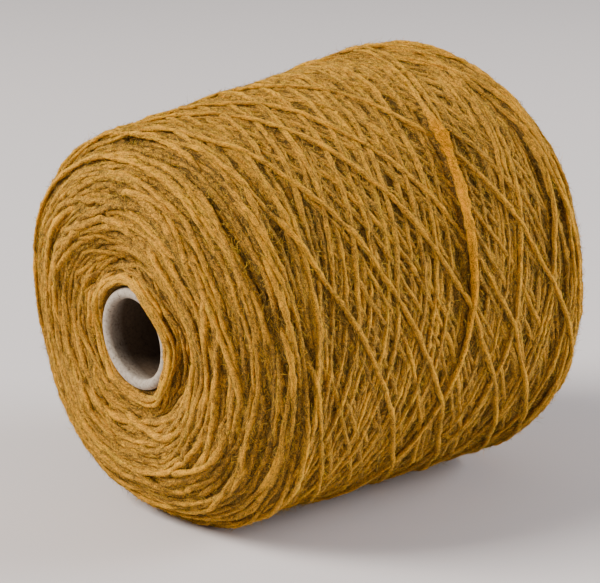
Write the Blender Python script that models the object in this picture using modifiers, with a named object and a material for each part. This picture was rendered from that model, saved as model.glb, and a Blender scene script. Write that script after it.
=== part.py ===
"""A cone of wool yarn: a cross-wound package on a tapered paper cone, lying on its side.

Two pieces. The winding is one thick sleeve of brushed yarn with soft shoulders and faces that
dip beside the paper cone. Its last strokes stand proud along crossing helices, one thick
place in the yarn stands prouder, and it is pressed flat where it lies on the table. The paper
cone is a hollow tapered tube with a rounded, turned-in nose.

The nose points to -X and the base to +X. The axis climbs towards the base by the taper, so
the winding's lowest line is level, on Z = 0. Distances called "along" run down the axis from
the winding's nose face. Angles called "around" start at the top and grow towards +Y.
"""
import math
from collections import namedtuple

import bpy
from mathutils import Matrix, Vector

MM = 0.001

# Paper cone, a common size: 170 mm long, 40 mm across the nose, 4 degrees 20 minutes of taper
TAPER = math.radians(4 + 20 / 60)
CONE_LENGTH = 170 * MM
NOSE_RADIUS = 20 * MM
CONE_WALL = 3.2 * MM
NOSE_LIP = 4.2 * MM
NOSE_LIP_REACH = 9 * MM
NOSE_RECESS = 6 * MM
CONE_STEPS = 64
LIP_STEPS = 8

# Winding
WIND_LENGTH = 184 * MM
MID_RADIUS = 84.4 * MM
FLAT_WIDTH = 36 * MM
BORE_CLEARANCE = 0.3 * MM
BORE_EDGE = 0.8 * MM
WIND_STEPS = 104
SHOULDER_STEPS = 12
FLANK_STEPS = 22
BORE_STEPS = 3

# An end of the winding: the shoulder's length along the axis, how square it is, the radius
# where the face starts, and how deep and how wide it dips beside the paper cone
End = namedtuple("End", "shoulder squareness start_radius dip dip_width")
NOSE_END = End(29.1 * MM, 2.43, 22.0 * MM, 8.2 * MM, 24 * MM)
BASE_END = End(33.4 * MM, 2.39, 34.0 * MM, 10.5 * MM, 24 * MM)

# Slow unevenness of the winding: crests around it, where along the axis it is strongest, how
# far it reaches from there, the angle of one crest, and its height
Swell = namedtuple("Swell", "crests along reach around height")
SWELLS = (
    Swell(4, 20 * MM, 38 * MM, math.radians(50), 1.1 * MM),
    Swell(3, 95 * MM, 60 * MM, math.radians(-60), 0.5 * MM),
    Swell(5, 168 * MM, 34 * MM, math.radians(20), 0.6 * MM),
)

# Last strokes of yarn laid each way: how many, how far one turn moves along the axis, and a
# point that one of them passes through. Between them the packed yarn lies a little deeper
Strokes = namedtuple("Strokes", "count lead along around")
FORWARD_STROKES = Strokes(9, -240 * MM, 62 * MM, math.radians(-68))
RETURN_STROKES = Strokes(8, 145 * MM, 108 * MM, math.radians(-67))
STROKE_HEIGHT = 2.2 * MM
STROKE_HALF_WIDTH = 5.5 * MM
PACKED_DEPTH = 0.9 * MM
STROKE_NOSE_FADE = (14 * MM, 26 * MM)
STROKE_BASE_FADE = (176 * MM, 160 * MM)

# The thick place lies along one return stroke, between these two angles
SLUB_START = math.radians(-145)
SLUB_END = math.radians(-30)
SLUB_TAPER = math.radians(14)
SLUB_HEIGHT = 2.8 * MM
SLUB_HALF_WIDTH = 7 * MM

# The relief fades out beside the bore and over the pressed strip below
BORE_FADE = 7 * MM
PRESSED_FADE = (math.radians(12), math.radians(26))


def smooth_step(low, high, value):
    """Rise smoothly from 0 at low to 1 at high; low may be the greater one."""
    share = min(max((value - low) / (high - low), 0.0), 1.0)
    return share * share * (3 - 2 * share)


def flank_radius(along):
    """Radius of the winding's tapered flank."""
    return MID_RADIUS + (along - WIND_LENGTH / 2) * math.tan(TAPER)


def cone_radius(along):
    """Outer radius of the paper cone."""
    return NOSE_RADIUS + (along - NOSE_RECESS) * math.tan(TAPER)


def end_outline(end, outer_radius):
    """Points (depth behind the end's face, radius) from the paper cone out to the flank."""
    points = []
    for step in range(SHOULDER_STEPS + 1):
        turn = math.pi / 2 * step / SHOULDER_STEPS
        across = math.sin(turn) ** (2 / end.squareness)
        behind = 1 - max(math.cos(turn), 0.0) ** (2 / end.squareness)
        radius = end.start_radius + (outer_radius - end.start_radius) * across
        dip = end.dip * smooth_step(end.start_radius + end.dip_width, end.start_radius, radius)
        points.append((end.shoulder * behind + dip, radius))
    return points


def winding_outline():
    """Closed outline (along, radius) of the winding, from the nose round the outside."""
    flank_start = NOSE_END.shoulder
    flank_end = WIND_LENGTH - BASE_END.shoulder
    outline = end_outline(NOSE_END, flank_radius(flank_start))
    for step in range(1, FLANK_STEPS):
        along = flank_start + (flank_end - flank_start) * step / FLANK_STEPS
        outline.append((along, flank_radius(along)))
    base = end_outline(BASE_END, flank_radius(flank_end))
    outline += [(WIND_LENGTH - depth, radius) for depth, radius in reversed(base)]

    bore_start = WIND_LENGTH - BASE_END.dip - BORE_EDGE
    bore_end = NOSE_END.dip + BORE_EDGE
    for step in range(BORE_STEPS + 1):
        along = bore_start + (bore_end - bore_start) * step / BORE_STEPS
        outline.append((along, cone_radius(along) + BORE_CLEARANCE))
    return outline


def cone_outline():
    """Closed outline (along, radius) of the paper cone's wall, starting at its nose lip."""
    lip = NOSE_LIP / 2
    lip_along = NOSE_RECESS + lip
    outline = []
    for step in range(LIP_STEPS + 1):
        turn = math.pi * step / LIP_STEPS
        outline.append((lip_along - lip * math.sin(turn), NOSE_RADIUS - lip - lip * math.cos(turn)))
    base = NOSE_RECESS + CONE_LENGTH
    outline.append((base, cone_radius(base)))
    outline.append((base, cone_radius(base) - CONE_WALL))
    thinned = NOSE_RECESS + NOSE_LIP_REACH
    outline.append((thinned, cone_radius(thinned) - CONE_WALL))
    return outline


def stroke_distance(strokes, along, around):
    """Distance to the nearest stroke of one set, square to it, and that stroke's number."""
    turns = (around - strokes.around) / math.tau
    ahead = ((along - strokes.along) / strokes.lead - turns) * strokes.count
    number = round(ahead)
    spacing = strokes.lead / strokes.count
    steepness = math.atan(abs(strokes.lead) / (math.tau * MID_RADIUS))
    return abs((ahead - number) * spacing) * math.cos(steepness), number % strokes.count


def ridge(height, half_width, distance):
    """Height of a rounded ridge at a distance from its crest."""
    return height * max(0.0, 1 - (distance / half_width) ** 2)


def relief(along, around, radius):
    """Height of the winding's surface above its even outline."""
    slow = 0.0
    for swell in SWELLS:
        nearness = math.exp(-((along - swell.along) / swell.reach) ** 2)
        slow += swell.height * nearness * math.cos(swell.crests * (around - swell.around))

    on_flank = smooth_step(*STROKE_NOSE_FADE, along) * smooth_step(*STROKE_BASE_FADE, along)
    forward, _ = stroke_distance(FORWARD_STROKES, along, around)
    back, number = stroke_distance(RETURN_STROKES, along, around)
    strokes = max(ridge(STROKE_HEIGHT, STROKE_HALF_WIDTH, forward),
                  ridge(STROKE_HEIGHT, STROKE_HALF_WIDTH, back))
    strokes = on_flank * (strokes - PACKED_DEPTH)
    if number == 0:
        thick = smooth_step(SLUB_START, SLUB_START + SLUB_TAPER, around)
        thick *= smooth_step(SLUB_END, SLUB_END - SLUB_TAPER, around)
        strokes = max(strokes, thick * ridge(SLUB_HEIGHT, SLUB_HALF_WIDTH, back))

    from_bore = radius - cone_radius(along) - BORE_CLEARANCE
    beside_strip = smooth_step(*PRESSED_FADE, math.pi - abs(around))
    return (slow + strokes) * beside_strip * smooth_step(0.0, BORE_FADE, from_bore)


def paper_board():
    """Rough grey-beige board, unbleached."""
    return plain_material("Paper board", (0.56, 0.50, 0.43), 0.9)


def brushed_wool():
    """Mustard wool, matt all over."""
    return plain_material("Brushed wool", (0.46, 0.24, 0.035), 0.95)


def plain_material(name, colour, roughness):
    """A Principled material of one colour."""
    material = bpy.data.materials.new(name)
    material.use_nodes = True
    shader = material.node_tree.nodes["Principled BSDF"]
    shader.inputs["Base Color"].default_value = (*colour, 1)
    shader.inputs["Roughness"].default_value = roughness
    shader.inputs["Metallic"].default_value = 0.0
    return material


def turned_mesh(name, outline, steps):
    """Turn an outline (along, radius) about the axis, with its nose end at +Z."""
    points = [(radius, 0, WIND_LENGTH / 2 - along) for along, radius in outline]
    edges = [(index, (index + 1) % len(points)) for index in range(len(points))]
    profile = bpy.data.meshes.new(name + "_profile")
    profile.from_pydata(points, edges, [])
    holder = bpy.data.objects.new(name + "_profile", profile)
    bpy.context.scene.collection.objects.link(holder)

    screw = holder.modifiers.new("Turn", "SCREW")
    screw.steps = steps
    screw.render_steps = steps
    screw.use_merge_vertices = True
    screw.merge_threshold = 0.00001
    bpy.context.view_layer.update()
    evaluated = holder.evaluated_get(bpy.context.evaluated_depsgraph_get())
    mesh = bpy.data.meshes.new_from_object(evaluated)
    mesh.name = name
    bpy.data.objects.remove(holder)
    bpy.data.meshes.remove(profile)
    return mesh


def raise_relief(mesh):
    """Lift each point of the turned winding along its normal by the relief there."""
    lifted = []
    for vertex in mesh.vertices:
        x, y, z = vertex.co
        lift = relief(WIND_LENGTH / 2 - z, math.atan2(y, x), math.hypot(x, y))
        lifted.append(vertex.co + vertex.normal * lift)
    for vertex, place in zip(mesh.vertices, lifted):
        vertex.co = place
    mesh.update()


def lying_down():
    """Matrix that lays the turned axis along X, its base raised by the taper."""
    up = Vector((-math.sin(TAPER), 0, math.cos(TAPER)))
    to_nose = Vector((-math.cos(TAPER), 0, -math.sin(TAPER)))
    turned = Matrix((up, to_nose.cross(up), to_nose)).transposed().to_4x4()
    pressed = FLAT_WIDTH ** 2 / (8 * MID_RADIUS)
    height = MID_RADIUS * math.cos(TAPER) - pressed
    return Matrix.Translation((0, 0, height)) @ turned


def press_flat(mesh):
    """Press what would reach below the table up to Z = 0."""
    for vertex in mesh.vertices:
        vertex.co.z = max(vertex.co.z, 0.0)
    mesh.update()


def centre_over_origin(meshes):
    """Shift the pieces along X and Y until the winding's box stands over the origin."""
    places = [vertex.co for vertex in meshes[0].vertices]
    middle = [(min(place[axis] for place in places) + max(place[axis] for place in places)) / 2
              for axis in (0, 1)]
    for mesh in meshes:
        mesh.transform(Matrix.Translation((-middle[0], -middle[1], 0)))


def add_piece(collection, name, mesh, material, sharp_angle):
    """Put a mesh into the collection as one smooth-shaded object."""
    piece = bpy.data.objects.new(name, mesh)
    collection.objects.link(piece)
    mesh.materials.append(material)
    mesh.shade_smooth()
    mesh.set_sharp_from_angle(angle=sharp_angle)
    return piece


def main():
    """Clear the scene and build the winding and its paper cone."""
    for old in list(bpy.data.objects):
        bpy.data.objects.remove(old)
    collection = bpy.data.collections.new("Yarn cone")
    bpy.context.scene.collection.children.link(collection)

    winding = turned_mesh("yarn_package", winding_outline(), WIND_STEPS)
    raise_relief(winding)
    cone = turned_mesh("card_cone", cone_outline(), CONE_STEPS)
    for mesh in (winding, cone):
        mesh.transform(lying_down())
    press_flat(winding)
    centre_over_origin((winding, cone))

    add_piece(collection, "yarn_package", winding, brushed_wool(), math.radians(60))
    add_piece(collection, "card_cone", cone, paper_board(), math.radians(40))


main()
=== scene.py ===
"""Looks of a cone of wool yarn: every turn that shows, its hairs, and the paper cone inside.

The script winds the package as a winder does. Strand after strand is laid over a height map
of what is already wound, rests on what it crosses, bridges the gaps and raises the map in
its turn. So the crossings, the dark gaps and the lumps come out of the winding itself.

Places on the package are given by "run", the way along its outline from the paper cone's
nose over the face, the flank and the base face, and by "around", the angle about the axis
from the top towards +Y. Lengths are in metres.
"""
from __future__ import annotations

import logging
import math
from dataclasses import dataclass, field
from enum import Enum

import bmesh
import bpy
import numpy as np
from mathutils import Matrix, Vector


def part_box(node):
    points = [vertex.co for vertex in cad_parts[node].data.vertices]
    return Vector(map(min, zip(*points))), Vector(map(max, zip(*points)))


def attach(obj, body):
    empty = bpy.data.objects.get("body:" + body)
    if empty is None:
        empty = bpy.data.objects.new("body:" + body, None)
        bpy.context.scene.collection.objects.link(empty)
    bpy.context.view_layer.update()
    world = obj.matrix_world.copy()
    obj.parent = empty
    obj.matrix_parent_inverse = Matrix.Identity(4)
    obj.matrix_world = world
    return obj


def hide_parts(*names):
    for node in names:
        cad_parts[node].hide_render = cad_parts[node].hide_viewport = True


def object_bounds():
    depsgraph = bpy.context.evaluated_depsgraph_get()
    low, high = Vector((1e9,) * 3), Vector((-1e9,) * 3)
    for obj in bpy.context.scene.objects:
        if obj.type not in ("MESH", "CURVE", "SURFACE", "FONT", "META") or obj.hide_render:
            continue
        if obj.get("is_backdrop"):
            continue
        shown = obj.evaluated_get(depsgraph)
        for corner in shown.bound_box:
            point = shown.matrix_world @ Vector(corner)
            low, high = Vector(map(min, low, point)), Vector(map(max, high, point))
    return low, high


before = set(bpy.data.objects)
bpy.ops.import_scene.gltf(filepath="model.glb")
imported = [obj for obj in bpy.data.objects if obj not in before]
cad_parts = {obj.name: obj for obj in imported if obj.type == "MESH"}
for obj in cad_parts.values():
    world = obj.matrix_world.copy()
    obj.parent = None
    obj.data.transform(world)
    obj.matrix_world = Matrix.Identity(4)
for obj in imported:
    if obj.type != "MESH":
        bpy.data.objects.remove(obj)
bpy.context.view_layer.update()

MM = 0.001
LOG = logging.getLogger("yarn_cone")


class Heading(Enum):
    """Which way the winder was moving when it laid a stroke of yarn."""

    TO_NOSE = -1
    TO_BASE = 1


def smooth_step(low: float, high: float, value: np.ndarray | float) -> np.ndarray:
    """Rise smoothly from 0 at low to 1 at high.

    Args:
        low: Where the rise starts; it may be the greater of the two.
        high: Where it ends.
        value: Where to read it.

    Returns:
        The share risen, from 0 to 1.
    """
    share = np.clip((np.asarray(value, float) - low) / (high - low), 0.0, 1.0)
    return share * share * (3 - 2 * share)


def smoothed(values: np.ndarray, spread: float) -> np.ndarray:
    """Blur a row of values with a bell curve, holding its ends.

    Args:
        values: The row.
        spread: The bell's standard deviation, in samples.

    Returns:
        The blurred row.
    """
    reach = int(math.ceil(3 * spread))
    bell = np.exp(-0.5 * (np.arange(-reach, reach + 1) / spread) ** 2)
    padded = np.pad(values, reach, mode="edge")
    return np.convolve(padded, bell / bell.sum(), mode="valid")


def highest_nearby(values: np.ndarray, reach: int) -> np.ndarray:
    """Greatest value within some samples either way.

    Args:
        values: The row.
        reach: How many samples to look each way.

    Returns:
        The row of greatest values.
    """
    padded = np.pad(values, reach, mode="edge")
    return np.max([padded[i:i + len(values)] for i in range(2 * reach + 1)], axis=0)


def unit(vectors: np.ndarray) -> np.ndarray:
    """Scale each vector to a length of 1."""
    return vectors / (np.linalg.norm(vectors, axis=-1, keepdims=True) + 1e-12)


def linear(hex_colour: str) -> tuple[float, float, float, float]:
    """Turn an sRGB hex colour to the linear RGBA that shaders read.

    Args:
        hex_colour: Six hex digits.

    Returns:
        Linear red, green, blue and an alpha of 1.
    """
    shares = [int(hex_colour[i:i + 2], 16) / 255 for i in (0, 2, 4)]
    bent = [c / 12.92 if c <= 0.04045 else ((c + 0.055) / 1.055) ** 2.4 for c in shares]
    return (*bent, 1.0)


def add_node(tree: bpy.types.NodeTree, kind: str, settings: dict | None = None,
             inputs: dict | None = None) -> bpy.types.Node:
    """Add one node with its settings, its socket values and its links.

    Args:
        tree: The node tree.
        kind: The node's type name.
        settings: Attributes to set on the node.
        inputs: Values by socket name or number; an output socket is linked instead.

    Returns:
        The new node.
    """
    node = tree.nodes.new(kind)
    for name, value in (settings or {}).items():
        setattr(node, name, value)
    for name, value in (inputs or {}).items():
        if isinstance(value, bpy.types.NodeSocket):
            tree.links.new(value, node.inputs[name])
        else:
            node.inputs[name].default_value = value
    return node


def set_stops(ramp: bpy.types.Node, stops: list[tuple[float, str]]) -> None:
    """Give a colour ramp its stops.

    Args:
        ramp: The ramp node.
        stops: Pairs of position and hex colour, from low to high.
    """
    elements = ramp.color_ramp.elements
    while len(elements) < len(stops):
        elements.new(1.0)
    for element, (position, colour) in zip(elements, stops):
        element.position = position
        element.color = linear(colour)


@dataclass(frozen=True)
class PackageEnd:
    """One end of the winding: its shoulder, and the dip of its face beside the paper cone."""

    shoulder: float
    squareness: float
    start_radius: float
    dip: float
    dip_width: float

    def outline(self, outer_radius: float, steps: int) -> np.ndarray:
        """Points (depth behind the face, radius) from the paper cone out to the flank.

        Args:
            outer_radius: The flank's radius where the shoulder meets it.
            steps: How many points.

        Returns:
            An array of points.
        """
        turn = np.linspace(0, math.pi / 2, steps)
        across = np.sin(turn) ** (2 / self.squareness)
        behind = 1 - np.clip(np.cos(turn), 0, 1) ** (2 / self.squareness)
        radius = self.start_radius + (outer_radius - self.start_radius) * across
        dip = self.dip * smooth_step(self.start_radius + self.dip_width, self.start_radius, radius)
        return np.stack([self.shoulder * behind + dip, radius], axis=1)


@dataclass(frozen=True)
class Swell:
    """A slow unevenness of the winding, as crests around it near one place along it."""

    crests: int
    along: float
    reach: float
    around: float
    height: float


@dataclass
class PackageForm:
    """The wound form and the paper cone in it, at the sizes of the fixed solids."""

    taper: float = math.radians(4 + 20 / 60)
    length: float = 184 * MM
    mid_radius: float = 84.4 * MM
    flat_width: float = 36 * MM
    cone_length: float = 170 * MM
    nose_radius: float = 20 * MM
    nose_recess: float = 6 * MM
    nose: PackageEnd = PackageEnd(29.1 * MM, 2.43, 22.0 * MM, 8.2 * MM, 24 * MM)
    base: PackageEnd = PackageEnd(33.4 * MM, 2.39, 34.0 * MM, 10.5 * MM, 24 * MM)
    swells: tuple[Swell, ...] = (
        Swell(4, 20 * MM, 38 * MM, math.radians(50), 1.1 * MM),
        Swell(3, 95 * MM, 60 * MM, math.radians(-60), 0.5 * MM),
        Swell(5, 168 * MM, 34 * MM, math.radians(20), 0.6 * MM),
    )
    outline_steps: int = 90
    settle_height: float = 2.0 * MM

    def __post_init__(self) -> None:
        """Find the axis in the fixed frame and lay out the outline by its run."""
        low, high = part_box("card_cone")
        base_rim = self.nose_recess + self.cone_length
        reach = (base_rim - self.length / 2) * math.cos(self.taper)
        reach += self.cone_radius(base_rim) * math.sin(self.taper)
        pressed = self.flat_width ** 2 / (8 * self.mid_radius)
        height = self.mid_radius * math.cos(self.taper) - pressed
        self.middle = np.array([high.x - reach, (low.y + high.y) / 2, height])
        self.axis = np.array([math.cos(self.taper), 0, math.sin(self.taper)])
        self.top = np.array([-math.sin(self.taper), 0, math.cos(self.taper)])
        self.side = np.array([0.0, 1.0, 0.0])

        flank_end = self.length - self.base.shoulder
        nose = self.nose.outline(self.flank_radius(self.nose.shoulder), self.outline_steps)
        base = self.base.outline(self.flank_radius(flank_end), self.outline_steps)[::-1]
        flank_along = np.linspace(self.nose.shoulder, flank_end, self.outline_steps)[1:-1]
        flank = np.stack([flank_along, self.flank_radius(flank_along)], axis=1)
        base[:, 0] = self.length - base[:, 0]
        points = np.concatenate([nose, flank, base])
        step = np.hypot(*np.diff(points, axis=0).T)
        self.run = np.concatenate([[0], np.cumsum(step)])
        self.outline_along, self.outline_radius = points.T
        slope_along = np.gradient(self.outline_along, self.run)
        slope_radius = np.gradient(self.outline_radius, self.run)
        steep = np.hypot(slope_along, slope_radius)
        self.lift_along = -slope_radius / steep
        self.lift_radius = slope_along / steep
        self.nose_run = float(self.run[self.outline_steps - 1])
        self.base_run = float(self.run[-self.outline_steps])
        self.last_run = float(self.run[-1])

    def flank_radius(self, along: np.ndarray | float) -> np.ndarray | float:
        """Radius of the tapered flank at a distance along the axis."""
        return self.mid_radius + (along - self.length / 2) * math.tan(self.taper)

    def cone_radius(self, along: np.ndarray | float) -> np.ndarray | float:
        """Outer radius of the paper cone at a distance along the axis."""
        return self.nose_radius + (along - self.nose_recess) * math.tan(self.taper)

    def radius_at(self, run: np.ndarray | float) -> np.ndarray:
        """Radius of the outline at a run."""
        return np.interp(run, self.run, self.outline_radius)

    def along_at(self, run: np.ndarray | float) -> np.ndarray:
        """Distance along the axis of the outline at a run."""
        return np.interp(run, self.run, self.outline_along)

    def run_at(self, along: float) -> float:
        """Run of the place on the flank or on a shoulder at a distance along the axis."""
        outer = self.outline_radius > 0.7 * self.mid_radius
        return float(np.interp(along, self.outline_along[outer], self.run[outer]))

    def swell_at(self, along: np.ndarray, around: np.ndarray) -> np.ndarray:
        """Height of the slow unevenness."""
        height = np.zeros(np.broadcast(along, around).shape)
        for swell in self.swells:
            nearness = np.exp(-((along - swell.along) / swell.reach) ** 2)
            height += swell.height * nearness * np.cos(swell.crests * (around - swell.around))
        return height

    def on_axis(self, along: np.ndarray, radius: np.ndarray, around: np.ndarray) -> np.ndarray:
        """Points of the frame from distances along and off the axis.

        Args:
            along: Distances along the axis from the nose face.
            radius: Distances from the axis.
            around: Angles from the top.

        Returns:
            An array of points.
        """
        out = np.cos(around)[..., None] * self.top + np.sin(around)[..., None] * self.side
        return self.middle + (along - self.length / 2)[..., None] * self.axis + radius[..., None] * out

    def place(self, run: np.ndarray, around: np.ndarray, height: np.ndarray) -> np.ndarray:
        """Points of the frame on or above the outline, settled on the table.

        Args:
            run: Places along the outline.
            around: Angles from the top.
            height: Heights above the outline.

        Returns:
            An array of points, none below the table.
        """
        along = self.along_at(run)
        height = height + self.swell_at(along, around)
        lifted_along = along + height * np.interp(run, self.run, self.lift_along)
        lifted_radius = self.radius_at(run) + height * np.interp(run, self.run, self.lift_radius)
        points = self.on_axis(lifted_along, lifted_radius, around)
        low = points[..., 2] < self.settle_height
        sunk = points[low, 2] / self.settle_height - 1
        points[low, 2] = self.settle_height * np.exp(sunk)
        return points


@dataclass
class Strand:
    """One length of yarn as it lies on the package."""

    run: np.ndarray
    around: np.ndarray
    height: np.ndarray
    thickness: np.ndarray
    tone: np.ndarray
    orange: np.ndarray

    def part(self, low: int, high: int) -> "Strand":
        """The length between two samples."""
        return Strand(*(row[low:high] for row in (self.run, self.around, self.height,
                                                  self.thickness, self.tone, self.orange)))


@dataclass
class WoundSurface:
    """Height map of what is wound so far, over run and around."""

    form: PackageForm
    cell: float = 0.85 * MM
    columns: int = 640
    ground: float = -4.6 * MM
    mat_blur: float = 2.0 * MM
    mat_depth: float = 0.38 * MM
    mat_clearance: float = 0.35 * MM

    def __post_init__(self) -> None:
        """Start from bare ground."""
        self.rows = int(self.form.last_run / self.cell) + 2
        self.height = np.full((self.rows, self.columns), self.ground)

    def cells(self, run: np.ndarray, around: np.ndarray) -> tuple[np.ndarray, np.ndarray]:
        """Rows and columns of places on the package."""
        row = np.clip(np.rint(run / self.cell).astype(int), 0, self.rows - 1)
        column = np.rint(around / math.tau * self.columns).astype(int) % self.columns
        return row, column

    def read(self, run: np.ndarray, around: np.ndarray) -> np.ndarray:
        """Heights of what is wound at some places."""
        return self.height[self.cells(run, around)]

    def raise_to(self, run: np.ndarray, around: np.ndarray, height: np.ndarray) -> None:
        """Raise the map to the given heights where it is lower."""
        np.maximum.at(self.height, self.cells(run, around), height)

    def blurred(self, spread: float) -> np.ndarray:
        """Blur the map with a bell curve that is as wide everywhere.

        Args:
            spread: The bell's standard deviation.

        Returns:
            A map of the same size.
        """
        radius = self.form.radius_at(np.arange(self.rows) * self.cell)
        waves = np.fft.rfft(self.height, axis=1)
        number = np.arange(waves.shape[1])
        waves *= np.exp(-0.5 * (number[None] * spread / radius[:, None]) ** 2)
        across = np.fft.irfft(waves, n=self.columns, axis=1)
        return np.apply_along_axis(smoothed, 0, across, spread / self.cell)


    def matted(self) -> np.ndarray:
        """Height map of the matted wool that fills the gaps between the upper turns."""
        return np.minimum(self.blurred(self.mat_blur) - self.mat_depth,
                          self.height - self.mat_clearance)


@dataclass
class Winder:
    """Lays strands of yarn on the package, one over the other."""

    form: PackageForm
    surface: WoundSurface
    seed: int = 41
    yarn_radius: float = 1.04 * MM
    sample: float = 1.4 * MM
    to_nose_angle: float = math.radians(24)
    to_base_angle: float = math.radians(15)
    reversal_width: float = 30 * MM
    flattest: float = 0.12
    tuck_length: float = 12 * MM
    tuck_depth: float = 2.4 * MM
    level_spread: float = 8 * MM
    level_height: float = -1.3 * MM
    collar_height: float = 5.0 * MM
    collar_width: float = 9 * MM
    collar_around: float = math.radians(-60)
    slub_growth: float = 1.35
    slub_angle: float = math.radians(19)
    slub_rise: float = 1.1 * MM
    slub_bow: float = 5.8 * MM
    slub_gap: float = 4.2 * MM
    crush: float = 0.72
    proudest: float = 1.7 * MM
    hidden_depth: float = 0.2 * MM
    shade_spread: float = 4 * MM
    shade_share: float = 0.16

    def __post_init__(self) -> None:
        """Seed the random numbers and start with no yarn."""
        self.random = np.random.default_rng(self.seed)
        self.strands: list[Strand] = []

    def wave(self, distance: np.ndarray, length: float) -> np.ndarray:
        """A wandering wave of about one wavelength, between -1 and 1.

        Args:
            distance: Distances along a strand.
            length: The wavelength.

        Returns:
            The wave's values.
        """
        phase = self.random.uniform(0, math.tau, 3)
        pitch = np.array([0.8, 1.13, 1.71]) / length * math.tau
        return sum(np.sin(distance * k + p) for k, p in zip(pitch, phase)) / 2.2

    def even(self, run: np.ndarray, around: np.ndarray, *more: np.ndarray) -> list[np.ndarray]:
        """Resample a path to even steps.

        Args:
            run: The path's runs.
            around: The path's angles.
            more: Other values along it.

        Returns:
            Distances along the strand, its runs, its angles and its other values.
        """
        radius = self.form.radius_at(run)
        step = np.hypot(np.diff(run), np.diff(around) * (radius[1:] + radius[:-1]) / 2)
        distance = np.concatenate([[0], np.cumsum(step)])
        count = max(int(distance[-1] / self.sample), 12)
        steps = np.linspace(0, distance[-1], count)
        return [steps, *(np.interp(steps, distance, row) for row in (run, around, *more))]

    def lay(self, run: np.ndarray, around: np.ndarray, width: float = 1.0, wander: float = 1.0,
            tone: float | None = None, press: float = 0.7, slub: np.ndarray | float = 0.0,
            ) -> None:
        """Lay a strand along a path, on what is wound so far.

        Args:
            run: The path's runs.
            around: The path's angles.
            width: Thickness against a usual strand's.
            wander: How much it strays from the path.
            tone: Lightness from 0 to 1, or None for a random one.
            press: How far it sinks into the gaps it crosses, from 0, taut, to 1.
            slub: Where it is a thick, little twisted place, from 0 to 1.
        """
        distance, run, around, slub = self.even(run, around, np.broadcast_to(slub, run.shape))
        run = run + wander * (0.8 * MM * self.wave(distance, 75 * MM)
                              + 0.22 * MM * self.wave(distance, 22 * MM)
                              + 0.12 * MM * self.wave(distance, 9 * MM))
        run = np.clip(run, 0.4 * MM, self.form.last_run - 0.4 * MM)
        thickness = self.yarn_radius * (width + self.slub_growth * slub) * (
            1 + 0.15 * self.wave(distance, 40 * MM) + 0.15 * self.wave(distance, 9 * MM))
        radius = self.form.radius_at(run)
        ahead_run = np.gradient(run)
        ahead_arc = np.gradient(around) * radius
        length = np.hypot(ahead_run, ahead_arc)
        across_run = -ahead_arc / length
        across_arc = ahead_run / length

        under = np.mean([self.surface.read(run + k * thickness * across_run,
                                           around + k * thickness * across_arc / radius)
                         for k in (-0.6, 0.0, 0.6)], axis=0)
        resting = under + 0.62 * thickness
        taut = smoothed(highest_nearby(resting, 4), 3.4)
        height = (1 - press) * taut + press * smoothed(resting, 1.9)

        from_end = np.minimum(distance, distance[-1] - distance)
        height -= self.tuck_depth * (1 - smooth_step(0, self.tuck_length, from_end))
        for middle in (0.0, 0.5):
            for k in np.linspace(-1, 1, 9):
                rise = 0.85 * math.sqrt(1 - 0.95 * k * k)
                row_run = run + k * thickness * across_run + middle * ahead_run
                row_around = around + (k * thickness * across_arc + middle * ahead_arc) / radius
                self.surface.raise_to(row_run, row_around, height + rise * thickness)

        thickness = thickness * np.sqrt(smooth_step(-0.5 * MM, 6 * MM, from_end))
        if tone is None:
            tone = float(self.random.normal(0.5, 0.13))
        tones = tone + 0.12 * self.wave(distance, 60 * MM) + 0.14 * self.wave(distance, 9 * MM)
        self.strands.append(Strand(run, around, height, thickness, tones, slub))

    def stroke(self, heading: Heading, along: float, around: float, angle: float,
               ends: tuple[float, float]) -> tuple[np.ndarray, np.ndarray]:
        """Path of one stroke from reversal to reversal.

        Args:
            heading: Which way the winder moves.
            along: Distance along the axis of a place that the stroke passes.
            around: The angle of that place.
            angle: How steeply it crosses the flank, from square to the axis.
            ends: Distances along the axis where it reverses at the nose and at the base.

        Returns:
            The path's runs and angles.
        """
        start, stop = self.form.run_at(ends[0]), self.form.run_at(ends[1])
        run = np.linspace(start, stop, 500)
        ease = smooth_step(start, start + self.reversal_width, run)
        ease = ease * smooth_step(stop, stop - self.reversal_width, run)
        lean = angle * (self.flattest + (1 - self.flattest) * ease)
        step = np.gradient(run) / (np.tan(lean) * self.form.radius_at(run))
        turned = np.cumsum(step) * heading.value
        turned += around - np.interp(self.form.run_at(along), run, turned)
        return run, turned

    def reversals(self) -> tuple[float, float]:
        """Distances along the axis where a stroke reverses at the nose and at the base."""
        return self.random.uniform(7, 26) * MM, self.random.uniform(158, 179) * MM

    def cover(self, layers: int, to_nose: int, to_base: int) -> None:
        """Wind whole layers of strokes over the flank.

        Args:
            layers: How many times the winder goes round the flank.
            to_nose: How many strokes towards the nose share one layer.
            to_base: How many strokes towards the base share one layer.
        """
        for _ in range(layers):
            start = self.random.uniform(0, math.tau, 2)
            for number in range(max(to_nose, to_base)):
                for heading, count, steep, first in (
                        (Heading.TO_NOSE, to_nose, self.to_nose_angle, start[0]),
                        (Heading.TO_BASE, to_base, self.to_base_angle, start[1])):
                    if number >= count:
                        continue
                    around = first + math.tau * (number + self.random.normal(0, 0.22)) / count
                    run, turned = self.stroke(heading, 92 * MM, around,
                                              steep * self.random.normal(1, 0.1), self.reversals())
                    self.lay(run, turned, width=self.random.normal(1.0, 0.08))

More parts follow.
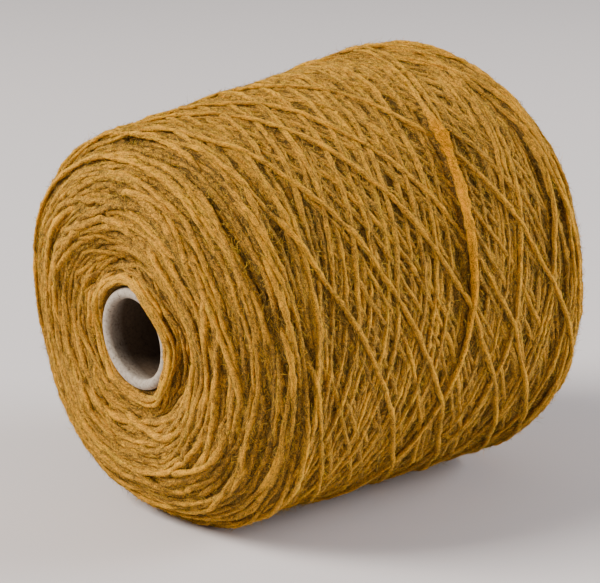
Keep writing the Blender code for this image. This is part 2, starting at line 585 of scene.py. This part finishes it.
    def turns(self, low: float, high: float, count: int, span: tuple[float, float],
              drift: float, wander: float = 1.0, width: float = 1.0,
              press: float = 0.7) -> None:
        """Lay many turns that go nearly straight round, from the inside out.

        Args:
            low: Run where they start.
            high: Run where they end.
            count: How many.
            span: Least and greatest angle that one goes round.
            drift: How far one moves along the outline, at most.
            wander: How much they stray.
            width: Thickness against a usual strand's.
            press: How far they sink into the gaps that they cross.
        """
        spread = np.linspace(low, high, 300)
        share = np.cumsum(self.form.radius_at(spread))
        share = (share - share[0]) / (share[-1] - share[0])
        places = (np.arange(count) + self.random.uniform(0, 1, count)) / count
        for middle in np.interp(places, share, spread):
            reach = self.random.uniform(*span)
            start = self.random.uniform(0, math.tau)
            way = np.linspace(-0.5, 0.5, 200)
            run = middle + self.random.uniform(-drift, drift) * way
            self.lay(run, start + reach * way, wander=wander, press=press,
                     width=width * self.random.normal(1, 0.08))

    def wind(self) -> None:
        """Wind the whole package, from the ends' faces to the last strokes."""
        form = self.form
        far = form.last_run
        whole, part = np.radians((100, 300)), np.radians((35, 120))
        for _ in range(2):
            self.turns(1.5 * MM, form.run_at(12 * MM), 34, whole, 5 * MM)
            self.turns(far - 1.5 * MM, form.run_at(170 * MM), 34, whole, 5 * MM)
            self.level()
            self.cover(3, 9, 8)
            self.level()
        self.turns(form.run_at(8 * MM), form.run_at(34 * MM), 22, whole, 9 * MM)
        self.turns(form.run_at(178 * MM), form.run_at(152 * MM), 22, whole, 9 * MM)
        self.cover(1, 9, 8)
        self.level()
        self.turns(0.3 * MM, 12 * MM, 50, part, 3 * MM, 1.2)
        self.turns(far - 0.3 * MM, far - 12 * MM, 50, part, 3 * MM, 1.2)
        self.turns(0.5 * MM, form.run_at(12 * MM), 110, part, 6 * MM, 1.4, 1.14)
        self.turns(far - 0.5 * MM, form.run_at(172 * MM), 120, part, 6 * MM, 1.4)
        for near, turned, far_end, to_turned in NOSE_CROSSINGS:
            way = smooth_step(-0.2, 1.2, np.linspace(0, 1, 80))
            self.lay((near + (far_end - near) * way) * MM,
                     np.radians(turned + (to_turned - turned) * way), press=0.6, tone=0.6)
        self.level()
        self.cover(1, 9, 8)
        self.turns(form.run_at(8 * MM), form.run_at(36 * MM), 60, part, 8 * MM, 1.4)
        self.turns(form.run_at(178 * MM), form.run_at(154 * MM), 60, part, 8 * MM, 1.4)
        self.level()
        self.turns(3 * MM, 40 * MM, 38, np.radians((25, 80)), 9 * MM, 1.7, 1.4, 0.5)
        self.turns(far - 3 * MM, far - 36 * MM, 30, np.radians((25, 75)), 9 * MM, 1.6, 1.12)
        self.turns(0.9 * MM, 4 * MM, 4, np.radians((290, 345)), 1 * MM, 0.5, 1.1)
        self.turns(far - 0.9 * MM, far - 4 * MM, 4, np.radians((290, 345)), 1 * MM, 0.5, 1.1)
        self.last_strokes()
        self.level()
        self.shade_deep()
        for strand in self.strands:
            strand.height += self.slub_rise * strand.orange
        self.drop_hidden()

    def last_strokes(self) -> None:
        """Lay the last strokes, which stand proud."""
        for along, around in TO_BASE_LAST:
            run, turned = self.stroke(Heading.TO_BASE, along * MM, math.radians(around),
                                      self.to_base_angle, self.reversals())
            self.lay(run, turned, width=1.05, wander=0.8, press=0.55, tone=0.6)
        for number, (along, around) in enumerate(TO_NOSE_LAST):
            if number == OVER_SLUB:
                self.slub()
            run, turned = self.stroke(Heading.TO_NOSE, along * MM, math.radians(around),
                                      self.to_nose_angle, self.reversals())
            self.lay(run, turned, width=1.08, wander=0.8, press=0.45, tone=0.62)

    def slub(self) -> None:
        """Lay the stroke with the thick place, over a stroke that runs beside its start."""
        run, turned = self.stroke(Heading.TO_BASE, SLUB[0] * MM, math.radians(SLUB[1]),
                                  self.slub_angle, (13 * MM, 176 * MM))
        bottom, narrowed, top = (math.radians(a) for a in SLUB[2:])
        run = run - self.slub_bow * (1 - 2 * smooth_step(top, bottom, turned))
        beside = self.slub_gap * smooth_step(narrowed, top, turned)
        self.lay(run + beside, turned, wander=0.3, press=0.4, tone=0.65)
        slub = smooth_step(bottom, bottom + 0.6, turned) * smooth_step(top, top - 0.24, turned)
        slub = slub * (0.58 + 0.42 * smooth_step(narrowed, narrowed + 0.5, turned))
        self.lay(run, turned, wander=0.4, press=0.1, tone=0.6, slub=slub)

    def level(self) -> None:
        """Press the winding to its fixed form.

        It has grown higher where more strokes cross. A real package is wound to an even form,
        so the even part of the height is taken off, and the rest is pressed a little.
        """
        surface = self.surface
        even = surface.blurred(self.level_spread)
        for strand in self.strands:
            below = smoothed(even[surface.cells(strand.run, strand.around)], 2.0)
            strand.height = self.pressed(strand.height - below, strand.run, strand.around)
        run = np.arange(surface.rows)[:, None] * surface.cell
        around = np.arange(surface.columns)[None] / surface.columns * math.tau
        surface.height = self.pressed(surface.height - even, run, around)

    def shade_deep(self) -> None:
        """Paint shade into the tone of the turns that lie lower than what is round them, and paint
        light into the turns that stand higher.
        """
        even = self.surface.blurred(self.shade_spread)
        for strand in self.strands:
            above = strand.height - even[self.surface.cells(strand.run, strand.around)]
            # Painted shade and painted light: the tone falls with depth below the locally even winding
            # and rises with height above it.
            strand.tone = strand.tone + self.shade_share * np.clip(above / MM, -2.0, 1.2)

    def drop_hidden(self) -> None:
        """Keep only the lengths of yarn that are not wound under."""
        surface = self.surface
        mat = surface.matted()
        shown: list[Strand] = []
        for strand in self.strands:
            radius = self.form.radius_at(strand.run)
            ahead_run, ahead_arc = np.gradient(strand.run), np.gradient(strand.around) * radius
            scale = strand.thickness / np.hypot(ahead_run, ahead_arc)
            over = np.min([surface.read(strand.run - k * scale * ahead_arc,
                                        strand.around + k * scale * ahead_run / radius)
                           for k in (-0.8, 0.0, 0.8)], axis=0)
            under = mat[surface.cells(strand.run, strand.around)]
            seen = strand.height + 0.8 * strand.thickness > np.maximum(over, under) - self.hidden_depth
            seen = highest_nearby(seen.astype(float), 3) > 0
            edges = np.flatnonzero(np.diff(np.concatenate([[0], seen.astype(int), [0]])))
            for low, high in zip(edges[::2], edges[1::2]):
                if high - low > 8:
                    shown.append(strand.part(low, high))
        self.strands = shown

    def pressed(self, above: np.ndarray, run: np.ndarray, around: np.ndarray) -> np.ndarray:
        """Height over the outline of what stands a height above the even winding.

        Beside the paper cone's nose the turns ride up on one side.

        Args:
            above: Heights above the even winding.
            run: Places along the outline.
            around: Angles from the top.

        Returns:
            Heights above the outline.
        """
        above = self.crush * above
        high = self.proudest * np.tanh(above / self.proudest)
        collar = self.collar_height * smooth_step(self.collar_width, 0, run)
        collar = collar * (0.5 + 0.5 * np.cos(around - self.collar_around))
        return self.level_height + collar + np.where(above > 0, high, above)


# Places (distance along in mm, angle around in degrees) that the last strokes pass
TO_NOSE_LAST = ((105, -68), (132, -68), (160, -68), (92, 70), (92, 112), (92, 151),
                (21, -68), (38.9, -68), (62, -68), (89.3, -68))
OVER_SLUB = 6
# Short lengths over the nose face: run in mm and angle of their start and of their end
NOSE_CROSSINGS = ((20, 48, 3, -8), (18, 66, 9, 30), (24, 30, 12, -6), (14, 80, 4, 42),
                  (28, 62, 16, 28), (11, 18, 2, -30), (30, 8, 18, -28), (16, 150, 6, 108))
TO_BASE_LAST = ((36, -68), (54, -68), (72.5, -68), (90.8, -68), (133.8, -68),
                (151.5, -68), (98, 160), (98, 118), (98, 74))
# The slub: distance along in mm and angle that it passes; angles of its end, neck and start
SLUB = (107.8, -67, -108, -66, -29)


@dataclass(frozen=True)
class BrushedWool:
    """Woollen-spun lambswool, dyed mustard and brushed.

    Its fibres scatter light, so it is matt with a soft pale bloom at grazing angles, and its
    colour deepens to brown where light has gone from strand to strand. Real fibres are
    0.03 mm thick; the streaks here are drawn 0.4 mm apart so that they show.
    """

    name: str = "Brushed mustard wool"
    dark: str = "594522"
    middle: str = "BC8834"
    light: str = "FAB326"
    redder: str = "FCE866"
    roughness: float = 0.95
    bump: float = 1.0

    def build(self) -> bpy.types.Material:
        """Make the material."""
        material = bpy.data.materials.new(self.name)
        material.use_nodes = True
        tree = material.node_tree
        shader = tree.nodes["Principled BSDF"]
        straight = add_node(tree, "ShaderNodeAttribute", {"attribute_name": "straight"})
        tone = add_node(tree, "ShaderNodeAttribute", {"attribute_name": "tone"})
        streak_place = add_node(tree, "ShaderNodeMapping", inputs={
            "Vector": straight.outputs["Vector"], "Scale": (0.55, 3.2, 3.2)})
        streaks = add_node(tree, "ShaderNodeTexNoise", inputs={
            "Vector": streak_place.outputs["Vector"], "Scale": 1.0, "Detail": 3.0,
            "Roughness": 0.6, "Distortion": 1.1})
        grain = add_node(tree, "ShaderNodeTexNoise", inputs={
            "Vector": straight.outputs["Vector"], "Scale": 1.3, "Detail": 1.5,
            "Roughness": 0.7, "Distortion": 1.6})
        tufts = add_node(tree, "ShaderNodeTexNoise", inputs={
            "Vector": straight.outputs["Vector"], "Scale": 0.35, "Detail": 2.0})
        with_grain = add_node(tree, "ShaderNodeMath", {"operation": "MULTIPLY_ADD"}, {
            0: grain.outputs["Fac"], 1: 1.0, 2: -0.735})
        mixed = add_node(tree, "ShaderNodeMath", {"operation": "MULTIPLY_ADD"}, {
            0: streaks.outputs["Fac"], 1: 0.9, 2: with_grain.outputs["Value"]})
        # The tone carries each strand's own lightness together with painted shade and light: lower
        # turns, the mat and strand sides get a lower tone.
        with_tone = add_node(tree, "ShaderNodeMath", {"operation": "MULTIPLY_ADD"}, {
            0: tone.outputs["Fac"], 1: 0.3, 2: mixed.outputs["Value"]})
        with_tufts = add_node(tree, "ShaderNodeMath", {"operation": "MULTIPLY_ADD"}, {
            0: tufts.outputs["Fac"], 1: 0.2, 2: with_tone.outputs["Value"]})
        ramp = add_node(tree, "ShaderNodeValToRGB", inputs={"Fac": with_tufts.outputs["Value"]})
        set_stops(ramp, [(0.28, self.dark), (0.5, self.middle), (0.74, self.light)])
        bump = add_node(tree, "ShaderNodeBump", inputs={
            "Strength": self.bump, "Distance": 0.6 * MM, "Height": mixed.outputs["Value"]})
        orange = add_node(tree, "ShaderNodeAttribute", {"attribute_name": "orange"})
        dyed = add_node(tree, "ShaderNodeMix", {"data_type": "RGBA", "blend_type": "MULTIPLY"}, {
            "Factor": orange.outputs["Fac"], 6: ramp.outputs["Color"], 7: linear(self.redder)})
        tree.links.new(dyed.outputs[2], shader.inputs["Base Color"])
        tree.links.new(bump.outputs["Normal"], shader.inputs["Normal"])
        shader.inputs["Roughness"].default_value = self.roughness
        shader.inputs["Specular IOR Level"].default_value = 0.04
        shader.inputs["Sheen Weight"].default_value = 0.03
        shader.inputs["Sheen Roughness"].default_value = 0.5
        shader.inputs["Sheen Tint"].default_value = linear("F0B850")
        shader.inputs["Subsurface Weight"].default_value = 0.4
        shader.inputs["Subsurface Radius"].default_value = (1.0, 0.6, 0.25)
        shader.inputs["Subsurface Scale"].default_value = 0.8 * MM
        return material


@dataclass(frozen=True)
class PaperBoard:
    """Grey-beige paper board rolled from pulp: dull, soft to the eye and faintly speckled, with
    painted shade deeper inside the bore.
    """

    name: str = "Grey-beige paper board"
    body: str = "9C8F7F"
    pale: str = "B5A999"
    speck: str = "64584C"
    # Painted shade: deeper in the bore the board is multiplied by this colour.
    lining: str = "807060"
    roughness: float = 0.88

    def build(self) -> bpy.types.Material:
        """Make the material."""
        material = bpy.data.materials.new(self.name)
        material.use_nodes = True
        tree = material.node_tree
        shader = tree.nodes["Principled BSDF"]
        place = add_node(tree, "ShaderNodeTexCoord")
        pulp = add_node(tree, "ShaderNodeTexNoise", inputs={
            "Vector": place.outputs["Object"], "Scale": 900.0, "Detail": 5.0, "Roughness": 0.65})
        ramp = add_node(tree, "ShaderNodeValToRGB", inputs={"Fac": pulp.outputs["Fac"]})
        set_stops(ramp, [(0.3, self.speck), (0.42, self.body), (0.68, self.pale)])
        bump = add_node(tree, "ShaderNodeBump", inputs={
            "Strength": 0.35, "Distance": 0.15 * MM, "Height": pulp.outputs["Fac"]})
        # Painted shade in the bore: the 'inside' attribute rises from the lip inwards.
        inside = add_node(tree, "ShaderNodeAttribute", {"attribute_name": "inside"})
        bore_shaded = add_node(tree, "ShaderNodeMix", {"data_type": "RGBA", "blend_type": "MULTIPLY"}, {
            "Factor": inside.outputs["Fac"], 6: ramp.outputs["Color"], 7: linear(self.lining)})
        tree.links.new(bore_shaded.outputs[2], shader.inputs["Base Color"])
        tree.links.new(bump.outputs["Normal"], shader.inputs["Normal"])
        shader.inputs["Roughness"].default_value = self.roughness
        shader.inputs["Specular IOR Level"].default_value = 0.3
        return material


def new_piece(name: str, mesh: bpy.types.Mesh, material: bpy.types.Material, slot: str,
              *nodes: str) -> bpy.types.Object:
    """Put a finished mesh into the scene as a piece of the object.

    Args:
        name: The piece's name.
        mesh: Its mesh, in place.
        material: Its material.
        slot: The material slot of the record; it is not used.
        nodes: The fixed solids that it stands for.

    Returns:
        The piece.
    """
    piece = bpy.data.objects.new(name, mesh)
    bpy.context.scene.collection.objects.link(piece)
    mesh.materials.clear()
    mesh.materials.append(material)
    mesh.shade_smooth()
    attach(piece, "root")
    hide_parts(*nodes)
    LOG.info("%s: %d triangles", name, sum(len(p.vertices) - 2 for p in mesh.polygons))
    return piece


def dress(mesh: bpy.types.Mesh, straight: np.ndarray, tone: np.ndarray,
          orange: np.ndarray) -> None:
    """Give a wool mesh the attributes that its material reads.

    Args:
        mesh: The mesh.
        straight: Places in straightened yarn, in mm, with its length along X.
        tone: Lightness of the wool, from 0 to 1, with painted shade and painted light in it where the
            callers add them.
        orange: How much of the wool is of the redder dye lot, from 0 to 1.
    """
    mesh.attributes.new("straight", "FLOAT_VECTOR", "POINT").data.foreach_set(
        "vector", straight.astype(np.float32).ravel())
    for name, values in (("tone", tone), ("orange", orange)):
        mesh.attributes.new(name, "FLOAT", "POINT").data.foreach_set(
            "value", values.astype(np.float32))


@dataclass
class YarnTurns:
    """Makes the strands' meshes."""

    form: PackageForm
    material: bpy.types.Material
    side_count: int = 6
    ring_every: int = 2
    twist_pitch: float = 34 * MM
    flatness: float = 0.8
    lumpiness: float = 0.15
    # Painted shade: how far the tone of a strand's sides falls below that of its top.
    side_shade: float = 0.08
    least_height: float = 0.05 * MM

    def rings(self, strand: Strand) -> tuple[np.ndarray, ...]:
        """Centres, outward directions, radii, tones and orange of a strand's rings."""
        keep = np.unique(np.r_[np.arange(0, len(strand.run), self.ring_every), len(strand.run) - 1])
        run, around, height = strand.run[keep], strand.around[keep], strand.height[keep]
        centres = self.form.place(run, around, height)
        outward = self.form.place(run, around, height + 1 * MM) - centres
        outward /= np.linalg.norm(outward, axis=1)[:, None] + 1e-9
        radius = strand.thickness[keep].copy()
        radius[0] = radius[-1] = 0.001 * MM
        return centres, outward, radius, strand.tone[keep], strand.orange[keep]

    def build(self, name: str, strands: list[Strand]) -> bpy.types.Object:
        """Make one mesh of many strands.

        Args:
            name: The piece's name.
            strands: The strands.

        Returns:
            The piece.
        """
        curve = bpy.data.curves.new(name, "CURVE")
        curve.dimensions = "3D"
        curve.bevel_depth = 1.0
        curve.bevel_resolution = (self.side_count - 4) // 2
        straight, tones, oranges, middles, normals = [], [], [], [], []
        random = np.random.default_rng(len(strands))
        sides = np.arange(self.side_count) / self.side_count * math.tau
        for strand in strands:
            centres, outward, radius, tone, orange = self.rings(strand)
            spline = curve.splines.new("POLY")
            spline.points.add(len(centres) - 1)
            spline.points.foreach_set("co", np.c_[centres, np.ones(len(centres))].ravel())
            spline.points.foreach_set("radius", radius)
            step = np.linalg.norm(np.diff(centres, axis=0), axis=1)
            distance = np.concatenate([[0], np.cumsum(step)])
            angle = sides[None] + (distance / self.twist_pitch * math.tau)[:, None]
            offset = random.uniform(0, 400)
            straight.append(np.stack([
                np.repeat((distance / MM + offset)[:, None], self.side_count, axis=1),
                radius[:, None] / MM * np.cos(angle) + offset,
                radius[:, None] / MM * np.sin(angle)], axis=-1).reshape(-1, 3))
            tones.append(np.repeat(tone, self.side_count))
            oranges.append(np.repeat(orange, self.side_count))
            middles.append(np.repeat(centres, self.side_count, axis=0))
            normals.append(np.repeat(outward, self.side_count, axis=0))
        holder = bpy.data.objects.new(name + "_curve", curve)
        bpy.context.scene.collection.objects.link(holder)
        bpy.context.view_layer.update()
        evaluated = holder.evaluated_get(bpy.context.evaluated_depsgraph_get())
        mesh = bpy.data.meshes.new_from_object(evaluated)
        bpy.data.objects.remove(holder)
        mesh.name = name

        places = np.zeros(len(mesh.vertices) * 3, np.float32)
        mesh.vertices.foreach_get("co", places)
        middle, normal = np.concatenate(middles), np.concatenate(normals)
        out = places.reshape(-1, 3) - middle
        out *= 1 + self.lumpiness * random.normal(0, 1, (len(out), 1))
        outward = np.sum(unit(out) * normal, axis=1)
        squeezed = (1 - self.flatness) * (1 - np.concatenate(oranges)) * np.sum(out * normal, axis=1)
        out -= squeezed[:, None] * normal
        places = middle + out
        places[:, 2] = np.maximum(places[:, 2], self.least_height)
        mesh.vertices.foreach_set("co", places.astype(np.float32).ravel())
        # Painted shade on each strand's sides and underside and painted light on its top, added to its
        # tone.
        tone = np.concatenate(tones) + self.side_shade * (outward - 0.3)
        dress(mesh, np.concatenate(straight), tone, np.concatenate(oranges))
        shape = bmesh.new()
        shape.from_mesh(mesh)
        bmesh.ops.remove_doubles(shape, verts=shape.verts, dist=0.005 * MM)
        shape.to_mesh(mesh)
        shape.free()
        return new_piece(name, mesh, self.material, "wool_yarn", "yarn_package")


@dataclass
class LooseFibres:
    """Brushed-out hairs that stand on the strands, as closed slivers or bent spindles."""

    form: PackageForm
    material: bpy.types.Material
    length: tuple[float, float]
    thickness: float
    standing: float
    bend: float
    turning: float = 0.65
    sink: float = 0.12 * MM
    clear_of_cone: float = 4 * MM
    seed: int = 8

    def build(self, name: str, surface: WoundSurface, count: int) -> bpy.types.Object:
        """Scatter hairs evenly over the package.

        Args:
            name: The piece's name.
            surface: The surface that they stand on.
            count: How many hairs.

        Returns:
            The piece.
        """
        random = np.random.default_rng(self.seed + count)
        spread = np.linspace(self.clear_of_cone, self.form.last_run - self.clear_of_cone, 500)
        share = np.cumsum(self.form.radius_at(spread))
        run = np.interp(random.uniform(0, share[-1], count), share, spread)
        around = random.uniform(-math.pi, math.pi, count)
        height = surface.read(run, around) - self.sink
        root = self.form.place(run, around, height)
        outward = unit(self.form.place(run, around, height + 1 * MM) - root)
        ahead = unit(self.form.place(run, around + 0.01, height) - root)
        across = unit(np.cross(outward, ahead))
        heading = random.normal(0, self.turning, (count, 1))
        heading += random.choice((0.0, math.pi), (count, 1))
        way = unit(np.cos(heading) * ahead + np.sin(heading) * across
                   + np.abs(random.normal(0, self.standing, (count, 1))) * outward)
        length = random.uniform(*self.length, (count, 1))
        side = unit(np.cross(way, outward))
        other = np.cross(side, way)
        middle = root + 0.5 * length * way
        if self.bend:
            tip = middle + 0.5 * length * unit(way + random.normal(0, self.bend, (count, 3)))
            corners = [middle + self.thickness * (math.cos(a) * side + math.sin(a) * other)
                       for a in (0.0, math.tau / 3, -math.tau / 3)]
            faces = [(0, 2, 1), (0, 3, 2), (0, 1, 3), (4, 1, 2), (4, 2, 3), (4, 3, 1)]
        else:
            tip = middle + 0.5 * length * way
            corners = [middle + self.thickness * (side + other),
                       middle + self.thickness * (other - side)]
            faces = [(0, 2, 1), (3, 1, 2), (0, 3, 2), (0, 1, 3)]
        points = np.stack([root, *corners, tip], axis=1)
        each = points.shape[1]
        points = points.reshape(-1, 3)
        points[:, 2] = np.maximum(points[:, 2], 0.1 * MM)
        every = np.array(faces)[None] + each * np.arange(count)[:, None, None]
        mesh = bpy.data.meshes.new(name)
        mesh.from_pydata(points, [], every.reshape(-1, 3))
        lightness = np.repeat(random.normal(0.6, 0.9, count), each)
        dress(mesh, points / MM, lightness, np.zeros(len(points)))
        return new_piece(name, mesh, self.material, "wool_yarn", "yarn_package")


@dataclass
class PackedYarn:
    """The matted turns under the strands, which show as the floor of the gaps, with painted shade in
    their tone.
    """

    form: PackageForm
    surface: WoundSurface
    material: bpy.types.Material
    rows: int = 112
    columns: int = 264
    lining: float = 0.3 * MM

    def build(self) -> bpy.types.Object:
        """Wrap a grid round the package and join it along the bore."""
        form, surface = self.form, self.surface
        shape = bmesh.new()
        bmesh.ops.create_grid(shape, x_segments=self.rows + 2, y_segments=self.columns, size=1)
        grid = np.array([vert.co[:2] for vert in shape.verts])
        row = np.rint((grid[:, 0] + 1) / 2 * (self.rows + 2)).astype(int)
        around = (grid[:, 1] + 1) * math.pi
        run = np.clip(row - 1, 0, self.rows - 1) / (self.rows - 1) * form.last_run
        height = surface.matted()[surface.cells(run, around)]
        places = form.place(run, around, height)
        lined = (row < 1) | (row > self.rows)
        along = form.along_at(np.where((row > self.rows) & (row < self.rows + 2), form.last_run, 0.0))
        bore = form.on_axis(along, form.cone_radius(along) + self.lining, around)
        places[lined] = bore[lined]
        for vert, place in zip(shape.verts, places):
            vert.co = place
        bmesh.ops.remove_doubles(shape, verts=shape.verts, dist=0.01 * MM)
        bmesh.ops.recalc_face_normals(shape, faces=shape.faces)
        open_edges = sum(edge.is_boundary for edge in shape.edges)
        LOG.info("packed yarn: %d open edges", open_edges)
        mesh = bpy.data.meshes.new("packed_yarn")
        shape.to_mesh(mesh)
        shape.free()
        places = np.array([v.co for v in mesh.vertices]) - form.middle
        out, side = places @ form.top, places @ form.side
        around = np.arctan2(side, out)
        straight = np.stack([around * 0.08, places @ form.axis, np.hypot(out, side)], axis=1) / MM
        # Painted shade: the mat gets a tone below the strands', so the floor of the gaps shows darker.
        dress(mesh, straight, np.full(len(places), -0.05), np.zeros(len(places)))
        return new_piece("packed_yarn", mesh, self.material, "wool_yarn", "yarn_package")


@dataclass
class PaperCone:
    """The paper cone, with its rounded, turned-in nose."""

    form: PackageForm
    material: bpy.types.Material
    wall: float = 3.2 * MM
    lip: float = 4.2 * MM
    lip_reach: float = 9 * MM
    lip_steps: int = 18
    columns: int = 128
    # Depths behind the nose between which painted shade darkens the inner wall.
    dark_from: tuple[float, float] = (5 * MM, 14 * MM)

    def build(self) -> bpy.types.Object:
        """Turn the wall's outline about the axis."""
        form = self.form
        half = self.lip / 2
        turn = np.linspace(0, math.pi, self.lip_steps)
        lip = np.stack([form.nose_recess + half - half * np.sin(turn),
                        form.nose_radius - half - half * np.cos(turn)], axis=1)
        base = form.nose_recess + form.cone_length
        thinned = form.nose_recess + self.lip_reach
        rest = np.array([[base, form.cone_radius(base)],
                         [base, form.cone_radius(base) - self.wall],
                         [base - self.lip_reach, form.cone_radius(base - self.lip_reach) - self.wall],
                         *[[a, form.cone_radius(a) - self.wall] for a in
                           np.linspace(self.dark_from[1], thinned, 6)]])
        shape = bmesh.new()
        verts = [shape.verts.new(form.on_axis(a, r, np.float64(0)))
                 for a, r in np.concatenate([lip, rest])]
        edges = [shape.edges.new((a, b)) for a, b in zip(verts, verts[1:] + verts[:1])]
        bmesh.ops.spin(shape, geom=verts + edges, cent=form.middle, axis=form.axis,
                       angle=math.tau, steps=self.columns, use_merge=True)
        bmesh.ops.remove_doubles(shape, verts=shape.verts, dist=0.01 * MM)
        bmesh.ops.recalc_face_normals(shape, faces=shape.faces)
        mesh = bpy.data.meshes.new("paper_cone")
        shape.to_mesh(mesh)
        shape.free()
        places = np.array([vert.co for vert in mesh.vertices]) - form.middle
        along = places @ form.axis + form.length / 2
        radius = np.linalg.norm(places - (places @ form.axis)[:, None] * form.axis, axis=1)
        # Painted shade: the inner wall darkens between the two depths of dark_from behind the nose.
        inner = radius < form.cone_radius(along) - self.wall / 2
        inside = inner * smooth_step(*self.dark_from, along)
        mesh.attributes.new("inside", "FLOAT", "POINT").data.foreach_set(
            "value", inside.astype(np.float32))
        piece = new_piece("paper_cone", mesh, self.material, "paper_board", "card_cone")
        mesh.set_sharp_from_angle(angle=math.radians(40))
        return piece


@dataclass
class Studio:
    """Camera, floor and soft light."""

    form: PackageForm
    azimuth: float = math.radians(-41.77)
    elevation: float = math.radians(14.36)
    distance: float = 805.4 * MM
    lens: float = 120.0
    shift: tuple[float, float] = (-0.0042, -0.0097)
    floor_radius: float = 6.0

    def camera(self) -> None:
        """Set the camera at the photograph's viewing angle."""
        back = Vector((math.sin(self.azimuth) * math.cos(self.elevation),
                       -math.cos(self.azimuth) * math.cos(self.elevation),
                       math.sin(self.elevation)))
        data = bpy.data.cameras.new("camera")
        data.lens = self.lens
        data.sensor_width = 36
        data.shift_x, data.shift_y = self.shift
        camera = bpy.data.objects.new("camera", data)
        camera.location = Vector(self.form.middle) + back * self.distance
        camera.rotation_euler = (-back).to_track_quat("-Z", "Y").to_euler()
        bpy.context.scene.collection.objects.link(camera)
        bpy.context.scene.camera = camera

    def floor(self) -> None:
        """Lay a pale floor that reaches past the view."""
        shape = bmesh.new()
        bmesh.ops.create_circle(shape, cap_ends=True, segments=64, radius=self.floor_radius)
        mesh = bpy.data.meshes.new("floor")
        shape.to_mesh(mesh)
        shape.free()
        floor = bpy.data.objects.new("floor", mesh)
        bpy.context.scene.collection.objects.link(floor)
        material = bpy.data.materials.new("Pale paper")
        material.use_nodes = True
        shader = material.node_tree.nodes["Principled BSDF"]
        shader.inputs["Base Color"].default_value = linear("CBC5C3")
        shader.inputs["Roughness"].default_value = 0.8
        mesh.materials.append(material)
        floor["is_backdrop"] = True

    def light(self, name: str, place: tuple[float, float, float], size: float, power: float,
              colour: str) -> None:
        """Add one soft light that faces the package.

        Args:
            name: Its name.
            place: Where it stands.
            size: The side of its square face.
            power: Its power in watts.
            colour: Its colour.
        """
        data = bpy.data.lights.new(name, "AREA")
        data.size = size
        data.energy = power
        data.color = linear(colour)[:3]
        light = bpy.data.objects.new(name, data)
        light.location = place
        aim = Vector(self.form.middle) - Vector(place)
        light.rotation_euler = aim.to_track_quat("-Z", "Y").to_euler()
        bpy.context.scene.collection.objects.link(light)

    def build(self) -> None:
        """Make the camera, the floor, the lights and the even room light."""
        self.camera()
        self.floor()
        self.light("key", (-2.35, 1.3, 2.4), 1.6, 255.0, "FFFAF4")
        self.light("right fill", (2.2, -1.5, 0.9), 1.6, 125.0, "F8F9FF")
        world = bpy.data.worlds.new("room")
        world.use_nodes = True
        background = world.node_tree.nodes["Background"]
        background.inputs["Color"].default_value = linear("DAD8DA")
        background.inputs["Strength"].default_value = 0.56
        bpy.context.scene.world = world


def main() -> None:
    """Build the studio and the yarn cone."""
    logging.basicConfig(level=logging.INFO, format="%(message)s")
    form = PackageForm()
    Studio(form).build()
    wool = BrushedWool().build()
    board = PaperBoard().build()

    winder = Winder(form, WoundSurface(form))
    winder.wind()
    bands = np.linspace(0, winder.surface.rows, 13).astype(int)
    for low, high in zip(bands, bands[1:]):
        zone = winder.surface.height[low:high] / MM
        LOG.info("run %.0f mm: height %.2f mean, %.2f top", low * winder.surface.cell / MM,
                 zone.mean(), np.percentile(zone, 95))
    LOG.info("%d strands, %.1f m of yarn", len(winder.strands),
             sum(len(s.run) for s in winder.strands) * winder.sample)

    PackedYarn(form, winder.surface, wool).build()
    turns = YarnTurns(form, wool)
    fuzz = LooseFibres(form, wool, (2.2 * MM, 4.8 * MM), 0.11 * MM, 0.2, 0.0)
    halo = LooseFibres(form, wool, (2.5 * MM, 6.5 * MM), 0.05 * MM, 0.45, 0.4)
    lengths = np.cumsum([len(s.run) for s in winder.strands])
    parts = 4
    edges = [int(np.searchsorted(lengths, lengths[-1] * k / parts)) for k in range(parts)]
    for number, (low, high) in enumerate(zip(edges, edges[1:] + [len(winder.strands)]), 1):
        turns.build(f"yarn_turns_{number}", winder.strands[low:high])
    for number in (1, 2):
        fuzz.build(f"short_fibres_{number}", winder.surface, 43000 + number)
    halo.build("long_fibres", winder.surface, 12000)
    PaperCone(form, board).build()

    low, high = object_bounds()


if __name__ == "__main__":
    main()
